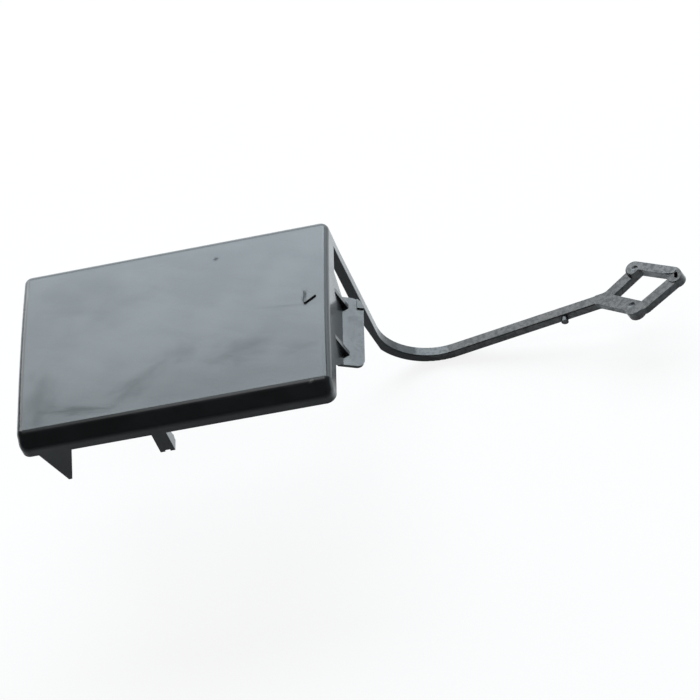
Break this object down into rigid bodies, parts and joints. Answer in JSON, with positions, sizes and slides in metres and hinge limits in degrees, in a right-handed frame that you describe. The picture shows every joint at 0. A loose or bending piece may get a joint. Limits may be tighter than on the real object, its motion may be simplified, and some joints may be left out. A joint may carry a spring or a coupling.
{
  "type": "bumper tow hook cover",
  "caption": "Shallow crowned cap that closes a bumper's towing-eye opening, with a hinge tongue, snap pegs and a flexible tether ending in a diamond ring.",
  "frame": {"origin": "centre of the bumper opening, in the plane that the cap's rim sits on", "axes": "+X to the tongue and tether side, +Y up the cap, +Z out of the bumper, along the face's normal at its middle"},
  "size_m": [0.1707, 0.06, 0.0646],
  "materials": {
    "black_plastic": "satin-gloss moulded plastic, lightly soiled"
  },
  "bodies": {
    "root": {"tow_hook_cover": "black_plastic"}
  },
  "joints": []
}
